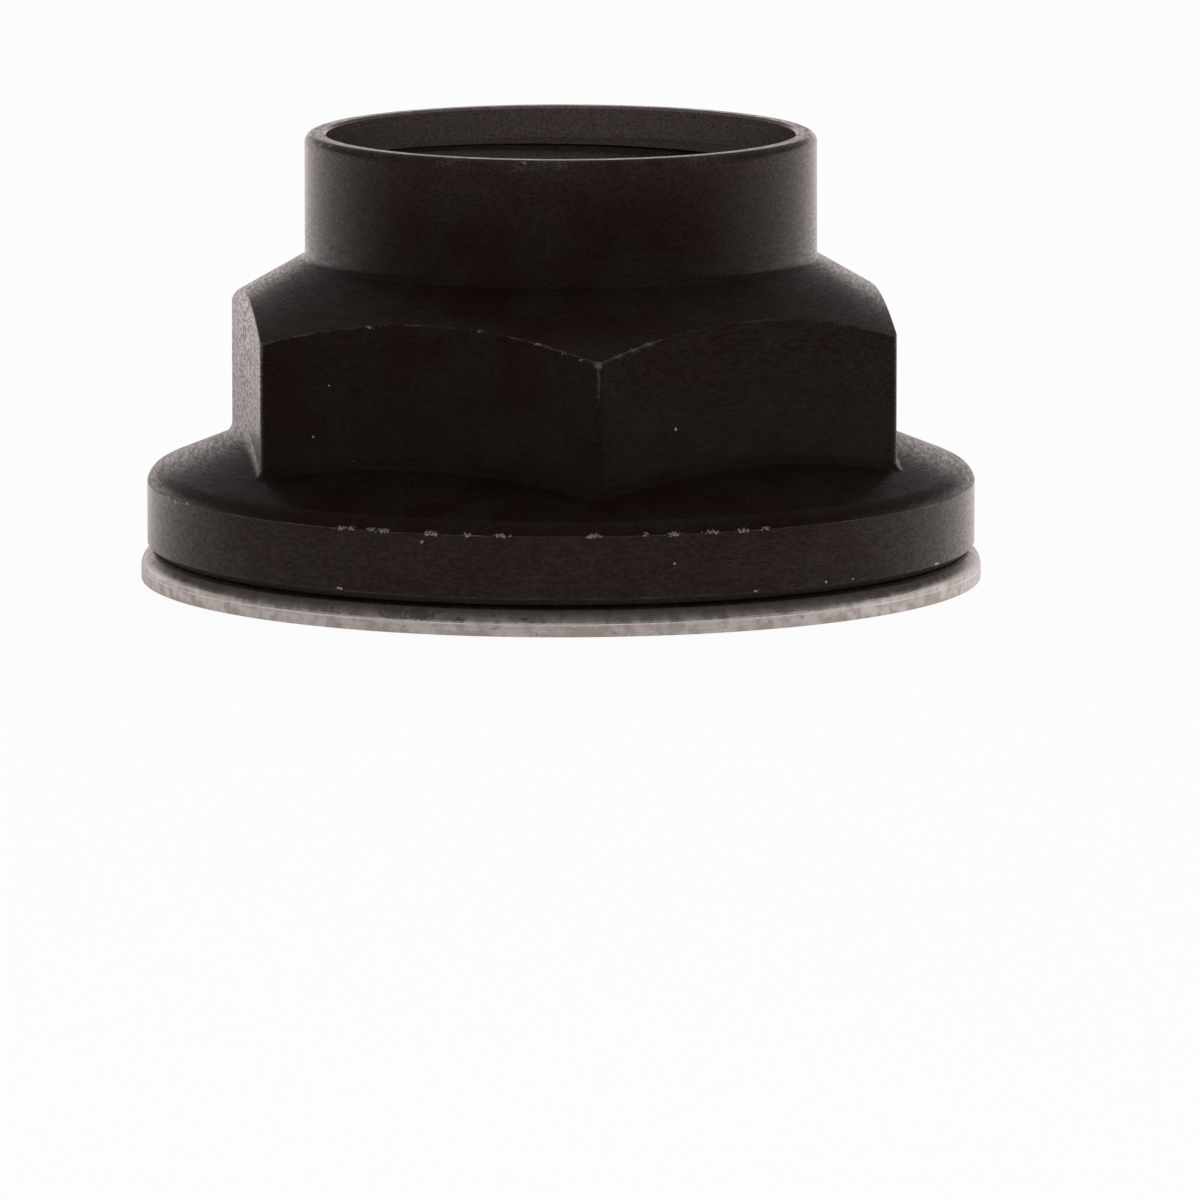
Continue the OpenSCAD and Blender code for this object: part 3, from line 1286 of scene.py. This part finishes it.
    def nicks_and_highlights(self) -> list[Nick]:
        """Places where the finish is knocked off.

        Returns:
            The nicks along the crease, on the flange's side, on the hexagon and on the rim, some near the
            ends being painted highlights.
        """
        side_r = self.flange_r
        edge = self.crease_z + self.crease_r
        crease = (
            (-37.3, 0.49), (-35.6, 0.42), (-32.1, 0.42), (-30.5, 0.42), (-23.9, 0.35),
            (-23.2, 0.28), (-18.7, 0.28), (-13.8, 0.49), (-1.5, 0.49), (5.8, 0.21),
            (9.6, 0.42), (15.0, 0.63), (19.6, 0.42), (23.1, 0.35),
        )
        spots = [Nick(azimuth, side_r, edge, half_w, 0.15, density=-0.03) for azimuth, half_w in crease]
        spots += [
            Nick(-24.9, side_r, 4.27, 0.14, 0.1, density=0.05),
            Nick(-37.2, side_r, 1.83, 0.3, 0.07),
            Nick(9.7, side_r, 3.3, 0.06, 0.06, density=0.1),
            Nick(21.5, side_r, 1.8, 0.2, 0.06),
            Nick(33.0, side_r, 1.91, 0.07, 0.07, density=0.1),
            Nick(37.9, side_r, 1.88, 0.06, 0.06, density=0.1),
            Nick(58.0, side_r, 1.8, 0.5, 0.08),
            Nick(-41.3, 15.3, 13.46, 0.25, 0.1),
            Nick(-20.2, 15.25, 13.58, 0.2, 0.09),
            Nick(-9.6, 16.0, 13.12, 0.25, 0.1, level=0.6),
            Nick(-5.4, 16.6, 12.75, 0.2, 0.09, level=0.4),
            Nick(-2.7, 16.95, 12.5, 0.2, 0.09, level=0.4),
            Nick(0.0, 17.2, 12.27, 0.25, 0.2, 0.06, 0.05, 0.2),
            Nick(0.0, 17.2, 11.3, 0.07, 1.1, 0.07, -0.02, 0.18),
            Nick(3.5, 16.8, 12.62, 0.4, 0.16, 0.06, -0.05, 0.14),
            Nick(6.2, 16.45, 12.86, 0.4, 0.16, 0.06, -0.05, 0.14),
            Nick(9.0, 16.1, 13.05, 0.4, 0.16, 0.06, -0.05, 0.12),
            Nick(-48.8, 15.85, 10.63, 0.06, 0.06, density=0.1),
            Nick(-51.6, 16.13, 8.16, 0.06, 0.06, density=0.1),
            Nick(-44.3, 15.53, 7.14, 0.06, 0.06, density=0.1),
            Nick(14.2, 15.59, 8.98, 0.08, 0.08, density=0.15),
            Nick(-14.0, 12.0, self.rim_z, 0.2, 0.2),
            # Rim spots at about 64 to 77 degrees each side are partly nicks, partly painted highlights of the
            # grazing ends.
            Nick(-76.0, 12.0, self.rim_z - 0.15, 0.35, 0.14, 0.12, -0.02, 0.6),
            Nick(-71.0, 11.95, self.rim_z - 0.1, 0.25, 0.1, 0.1, 0.0, 0.5),
            Nick(-64.0, 11.6, self.rim_z, 0.25, 0.1, 0.1, 0.0, 0.6),
            Nick(66.0, 11.6, self.rim_z, 0.25, 0.1, 0.1, 0.0, 0.6),
            Nick(72.0, 12.0, self.rim_z - 0.15, 0.3, 0.12, 0.1, 0.0, 0.5),
            Nick(77.0, 12.05, self.rim_z - 0.2, 0.35, 0.14, 0.12, -0.02, 0.6),
            # Crease spots at about 69 to 77 degrees each side are partly nicks, partly painted reflections of
            # the grazing ends.
            Nick(-76.0, side_r, edge, 0.5, 0.12, 0.12, 0.0, 0.6),
            Nick(-73.0, side_r, edge - 0.1, 0.35, 0.12, 0.12, 0.0, 0.5),
            Nick(-69.0, side_r, edge, 0.3, 0.1, 0.12, 0.0, 0.4),
            Nick(70.0, side_r, edge, 0.4, 0.12, 0.12, 0.0, 0.4),
            Nick(74.0, side_r, edge - 0.15, 0.45, 0.16, 0.12, 0.0, 0.5),
            Nick(77.0, side_r, edge - 0.8, 0.3, 0.2, 0.12, -0.02, 0.4),
        ]
        return spots

    def shape(self) -> bpy.types.Object:
        """Spins the outline and presses the hexagon into it.

        Returns:
            The closed nut, still without its thread.
        """
        columns = self.columns()
        sections = [self.outline(self.reach(azimuth)).rows() for azimuth in columns]
        bm = spin_outline(sections[0], len(columns))
        row_layer = bm.verts.layers.int[ROW_LAYER]
        wear_and_highlight_layer = bm.verts.layers.float[WEAR_AND_HIGHLIGHT_LAYER]
        sharpest = self.reach(HALF_SECTOR)
        plain_wear, corner_wear = self.arc_wear_and_highlight
        for vert in bm.verts:
            column = round(math.atan2(vert.co.y, vert.co.x) / math.tau * len(columns)) % len(columns)
            row = sections[column][vert[row_layer]]
            azimuth = columns[column]
            vert.co = (row.r * MM * math.cos(azimuth), row.r * MM * math.sin(azimuth), row.z * MM)
            # The chamfer cone's edge takes wear and the painted highlight that draws its arcs as lit lines.
            if row.stretch == self.CHAMFER_EDGE:
                below = max(0.0, 1 - (self.top_cone_z(sharpest) - row.z) / self.corner_wear_h)
                near = max(0.0, 1 - (sharpest - row.r) / self.corner_wear_w)
                close = max(0.0, 1 - (sharpest - row.r) / self.arc_wear_and_highlight_w)
                vert[wear_and_highlight_layer] = max(row.wear_and_highlight * (plain_wear + corner_wear * close), near * below)
        bm.verts.layers.int.remove(row_layer)
        bmesh.ops.recalc_face_normals(bm, faces=bm.faces)
        return make_object(bm, "black_nut")

    def finish_thread(self, piece: bpy.types.Object) -> None:
        """Gives the whole threaded wall one finish.

        Args:
            piece: The nut with its thread cut.
        """
        top = (self.floor_z - self.break_r) * MM
        step = self.step_z * MM
        wall = (self.major_r + self.break_r) * MM
        layers = piece.data.attributes
        for vert in piece.data.vertices:
            if vert.co.xy.length < wall and vert.co.z < top:
                # These lighter turned values paint light into the deep, shaded bore.
                turned = self.step_turned_and_lit if vert.co.z > step else self.bore_turned_and_lit
                for layer, value in ((TURNED_LAYER, turned), (FORGED_LAYER, 0.0), (WEAR_AND_HIGHLIGHT_LAYER, 0.0)):
                    layers[layer].data[vert.index].value = value

    def build(self, effects: Effects) -> bpy.types.Object:
        """Makes the nut and dresses it.

        Args:
            effects: Shared node groups.

        Returns:
            The finished piece.
        """
        piece = self.shape()
        ThreadTap(self.major_r, self.minor_r).cut(piece)
        self.finish_thread(piece)
        shade(piece)
        material = self.finish.material("black_oxide", effects, self.nicks_and_highlights())
        settle(piece, material, Body.NUT, Node.NUT_BODY)
        return piece


@dataclass
class CaptiveWasher:
    """The stamped washer under the flange: rolled upper edge, sheared side and countersunk hole.

    All lengths are in millimetres.

    Attributes:
        washer_r: Radius of the washer.
        thickness: Thickness of the washer.
        hole_r: Radius of its hole.
        sink: Depth of the countersink.
        roll_in: How far the rolled edge leans in.
        roll_r: Radius of the rolled edge.
        crease_z: Height of the crease between the sheared side and the rolled edge.
        crease_r: Radius of that crease.
        crease_w: How far its rubbed, painted highlight reaches to either side.
        break_r: Radius of the other edges.
        columns: Steps around the axis.
        finish: Finish of the washer.
    """

    washer_r: float
    thickness: float
    hole_r: float = 12.7
    sink: float = 0.7
    roll_in: float = 0.05
    roll_r: float = 0.8
    crease_z: float = 0.6
    crease_r: float = 0.03
    crease_w: float = 0.1
    break_r: float = 0.05
    columns: int = 288
    finish: StampedSteel = field(default_factory=StampedSteel)

    @classmethod
    def from_frame(cls) -> "CaptiveWasher":
        """Takes the washer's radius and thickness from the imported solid."""
        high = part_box(Node.CAPTIVE_WASHER.value)[1]
        return cls(washer_r=high[0] / MM, thickness=high[2] / MM)

    def outline(self) -> Outline:
        """The washer's half section.

        Returns:
            The closed half section.
        """
        broken = self.break_r
        return Outline(
            [
                Corner(self.hole_r + self.sink, 0.0, broken, 4, turned=1.0),
                Corner(self.washer_r, 0.0, broken, 2, wear_and_highlight=0.2),
                # The crease's full wear carries the painted highlight along it.
                Corner(self.washer_r, self.crease_z, self.crease_r, 1, wear_and_highlight=1.0),
                Corner(self.washer_r - self.roll_in, self.thickness, self.roll_r, 4),
                Corner(self.hole_r, self.thickness, broken, 1),
                Corner(self.hole_r, self.sink, broken, 1),
            ],
            hold=self.crease_w,
        )

    def stains(self) -> list[Nick]:
        """Dark spots on the washer's side.

        Returns:
            The spots, four of them broad and faint.
        """
        side_r = self.washer_r
        return [
            Nick(-28.5, side_r, 0.9, 1.0, 0.35, 0.2, 0.1, 0.5),
            Nick(-25.0, side_r, 0.9, 0.9, 0.35, 0.2, 0.12, 0.55),
            Nick(-19.5, side_r, 0.75, 0.4, 0.2, 0.2, 0.0, 0.6),
            Nick(-10.5, side_r, 0.85, 0.35, 0.14, 0.2, 0.0, 0.6),
            Nick(-38.5, side_r, 0.9, 0.7, 0.18, 0.25, -0.05, 0.5),
            Nick(28.0, side_r, 0.5, 0.5, 0.2, 0.25, -0.05, 0.4),
            Nick(-70.0, side_r, 0.9, 2.2, 0.4, 0.3, 0.1, 0.25),
            Nick(-60.0, side_r, 0.8, 2.0, 0.35, 0.3, 0.05, 0.2),
            Nick(50.0, side_r, 0.6, 2.4, 0.45, 0.3, 0.05, 0.2),
            Nick(62.0, side_r, 0.8, 2.0, 0.35, 0.3, 0.05, 0.2),
        ]

    def build(self, effects: Effects) -> bpy.types.Object:
        """Makes the washer and dresses it.

        Args:
            effects: Shared node groups.

        Returns:
            The finished piece.
        """
        bm = spin_outline(self.outline().rows(), self.columns)
        bm.verts.layers.int.remove(bm.verts.layers.int[ROW_LAYER])
        piece = make_object(bm, "steel_washer")
        shade(piece)
        material = self.finish.material("stamped_steel", effects, self.stains())
        settle(piece, material, Body.WASHER, Node.CAPTIVE_WASHER)
        return piece


@dataclass(frozen=True)
class Lamp:
    """A soft square lamp that faces the object and isn't mirrored in it.

    Attributes:
        name: Name of the lamp.
        spot: Its place, in metres.
        size: Length of its side, in metres.
        watts: Its power.
    """

    name: str
    spot: tuple[float, float, float]
    size: float
    watts: float

    def hang(self) -> bpy.types.Object:
        """Hangs the lamp.

        Returns:
            The lamp.
        """
        data = bpy.data.lights.new(self.name, "AREA")
        data.shape = "SQUARE"
        data.size = self.size
        data.energy = self.watts
        lamp = bpy.data.objects.new(self.name, data)
        spot = Vector(self.spot)
        lamp.matrix_world = spot.to_track_quat("Z", "Y").to_matrix().to_4x4()
        lamp.location = spot
        lamp.visible_glossy = False
        bpy.context.scene.collection.objects.link(lamp)
        return lamp


@dataclass
class Studio:
    """A pale floor in a light tent that is brightest behind the object, and the camera.

    Lengths are in metres and angles in degrees.

    Attributes:
        floor_half: Half the width of the floor.
        floor_drop: How far the floor lies below the bearing face.
        floor_colour: Colour of the floor.
        white: What the camera sees of the tent.
        glow_tint: Tint of what the object mirrors of it.
        shadow_share: Share of the floor's own shading that the camera sees.
        front_level: Brightness of the far floor in front, as the object mirrors it.
        floor_spread: Cosines between which the far floor goes from that to white.
        near_levels: Brightness of the near floor in front and behind.
        near_reach: Distances between which the near floor goes over into the far floor.
        near_turn: Turn of the near floor's brightest side to the right.
        wall_turn: Turn of the white wall to the right.
        wall_spread: Cosines between which the wall comes up.
        wall_heights: Heights of view between which the wall comes up from above.
        top_level: Brightness of the rest of the tent.
        lamps: The lamps.
        azimuth: Bearing of the camera's view.
        elevation: Height of the camera over the object.
        aim_z: Height that it is set up around.
        distance: Distance of the camera.
        yaw: How far it looks to the right of the axis.
        pitch: How far it looks below that height.
        lens_mm: Focal length, in millimetres.
        sensor_mm: Width of the sensor, in millimetres.
        clip_start: Distance from which it sees.
    """

    floor_half: float = 1.5
    floor_drop: float = 0.00002
    floor_colour: Colour = (0.9, 0.9, 0.9, 1.0)
    white: Colour = (1.0, 1.0, 1.0, 1.0)
    glow_tint: Colour = (1.0, 0.9, 0.89, 1.0)
    shadow_share: float = 0.07
    front_level: float = 0.16
    floor_spread: tuple[float, float] = (-0.7, 0.4)
    near_levels: tuple[float, float] = (0.53, 0.87)
    near_reach: tuple[float, float] = (0.03, 0.1)
    near_turn: float = 30.0
    wall_turn: float = 8.0
    wall_spread: tuple[float, float] = (-0.5, 0.7)
    wall_heights: tuple[float, float] = (0.35, 0.1)
    top_level: float = 0.17
    lamps: tuple[Lamp, ...] = (
        Lamp("top_lamp", (0.1, 0.1, 0.8), 0.6, 3.5),
        Lamp("front_lamp", (-0.2, -0.6, 0.4), 0.5, 1.6),
    )
    azimuth: float = 5.79
    elevation: float = 7.414
    aim_z: float = 0.0106
    distance: float = 0.6529
    yaw: float = 0.164
    pitch: float = 1.025
    lens_mm: float = 412.7
    sensor_mm: float = 36.0
    clip_start: float = 0.01

    def backwards(self, turn: float) -> Vector:
        """Level direction away from the camera.

        Args:
            turn: Angle to the right of straight away, in degrees.

        Returns:
            The direction.
        """
        bearing = math.radians(self.azimuth + turn)
        return Vector((math.sin(bearing), math.cos(bearing), 0.0))

    def place_camera(self) -> bpy.types.Object:
        """Puts the camera at the photograph's viewing angle.

        Returns:
            The camera.
        """
        rise = math.radians(self.elevation)
        spot = Vector((0.0, -self.distance * math.cos(rise), self.aim_z + self.distance * math.sin(rise)))
        down = math.radians(self.elevation + self.pitch)
        level = Matrix.Rotation(-math.radians(self.yaw), 3, "Z") @ Matrix.Rotation(math.pi / 2 - down, 3, "X")
        turn = Matrix.Rotation(-math.radians(self.azimuth), 3, "Z")
        data = bpy.data.cameras.new("camera")
        data.lens = self.lens_mm
        data.sensor_width = self.sensor_mm
        data.clip_start = self.clip_start
        camera = bpy.data.objects.new("camera", data)
        camera.matrix_world = (turn @ level).to_4x4()
        camera.location = turn @ spot
        bpy.context.scene.collection.objects.link(camera)
        bpy.context.scene.camera = camera
        return camera

    def light_world(self) -> None:
        """Sets up the tent: white to the camera, with a white wall behind the object in a dim room."""
        world = bpy.data.worlds.new("light_tent")
        bpy.context.scene.world = world
        world.use_nodes = True
        graph = NodeGraph(world.node_tree)
        coords = graph.add("ShaderNodeTexCoord").outputs["Generated"]
        parts = graph.add("ShaderNodeSeparateXYZ")
        graph.feed(parts.inputs[0], coords)
        behind = graph.vector("DOT_PRODUCT", coords, tuple(self.backwards(self.wall_turn)))
        wall = graph.remap(behind, self.wall_spread, MASK)
        low = graph.remap(parts.outputs["Z"], self.wall_heights, MASK)
        tent = graph.remap(graph.math("MULTIPLY", wall, low), MASK, (self.top_level, 1.0))
        seen = graph.add("ShaderNodeLightPath").outputs["Is Camera Ray"]
        level = graph.math("MAXIMUM", tent, seen)
        background = world.node_tree.nodes["Background"]
        graph.feed(background.inputs["Color"], graph.mix(seen, self.glow_tint, self.white))
        graph.feed(background.inputs["Strength"], level)

    def floor_material(self) -> bpy.types.Material:
        """A pale floor that keeps the object's shadow and can be seen through from below.

        Returns:
            The material.
        """
        material, graph, shader = new_material("pale_floor")
        shader.inputs["Base Color"].default_value = self.floor_colour
        shader.inputs["Roughness"].default_value = 1.0
        shader.inputs["Specular IOR Level"].default_value = 0.0
        path = graph.add("ShaderNodeLightPath").outputs
        mirrored = graph.math("MAXIMUM", path["Is Glossy Ray"], path["Is Transmission Ray"])
        shown = graph.math("MAXIMUM", path["Is Camera Ray"], mirrored)
        place = graph.add("ShaderNodeTexCoord").outputs["Object"]
        outwards = graph.vector("NORMALIZE", place)
        behind = graph.vector("DOT_PRODUCT", outwards, tuple(self.backwards(self.wall_turn)))
        beside = graph.vector("DOT_PRODUCT", outwards, tuple(self.backwards(self.near_turn)))
        far = graph.remap(behind, self.floor_spread, (self.front_level, 1.0))
        near = graph.remap(beside, (-1.0, 1.0), self.near_levels)
        tent = graph.remap(graph.vector("LENGTH", place), self.near_reach, (near, far))
        glow = graph.add("ShaderNodeEmission")
        graph.feed(glow.inputs["Color"], graph.mix(path["Is Camera Ray"], self.glow_tint, self.white))
        graph.feed(glow.inputs["Strength"], graph.math("MAXIMUM", tent, path["Is Camera Ray"]))
        lit = graph.add("ShaderNodeMixShader")
        graph.feed(lit.inputs[0], graph.math("MULTIPLY", shown, 1 - self.shadow_share))
        graph.feed(lit.inputs[1], shader.outputs[0])
        graph.feed(lit.inputs[2], glow.outputs[0])
        below = graph.add("ShaderNodeMixShader")
        graph.feed(below.inputs[0], graph.add("ShaderNodeNewGeometry").outputs["Backfacing"])
        graph.feed(below.inputs[1], lit.outputs[0])
        graph.feed(below.inputs[2], graph.add("ShaderNodeBsdfTransparent").outputs[0])
        output = material.node_tree.nodes["Material Output"]
        graph.feed(output.inputs["Surface"], below.outputs[0])
        return material

    def lay_floor(self) -> bpy.types.Object:
        """Lays the floor just below the bearing face.

        Returns:
            The floor.
        """
        bm = bmesh.new()
        bmesh.ops.create_grid(bm, x_segments=1, y_segments=1, size=self.floor_half)
        bmesh.ops.translate(bm, vec=(0.0, 0.0, -self.floor_drop), verts=bm.verts)
        floor = make_object(bm, "floor")
        floor.data.materials.append(self.floor_material())
        return floor

    def build(self) -> None:
        """Sets up the floor, the light and the camera."""
        self.place_camera()
        self.light_world()
        self.lay_floor()
        for lamp in self.lamps:
            lamp.hang()
        bpy.context.scene.view_settings.view_transform = "Standard"


def main() -> None:
    """Builds the studio and the pieces, and reports each piece."""
    logging.basicConfig(level=logging.INFO, format="%(name)s: %(message)s")
    Studio().build()
    effects = Effects()
    for part in (NutBody.from_frame(), CaptiveWasher.from_frame()):
        piece = part.build(effects)
        log.info("%s has %d faces", piece.name, len(piece.data.polygons))


if __name__ == "__main__":
    main()
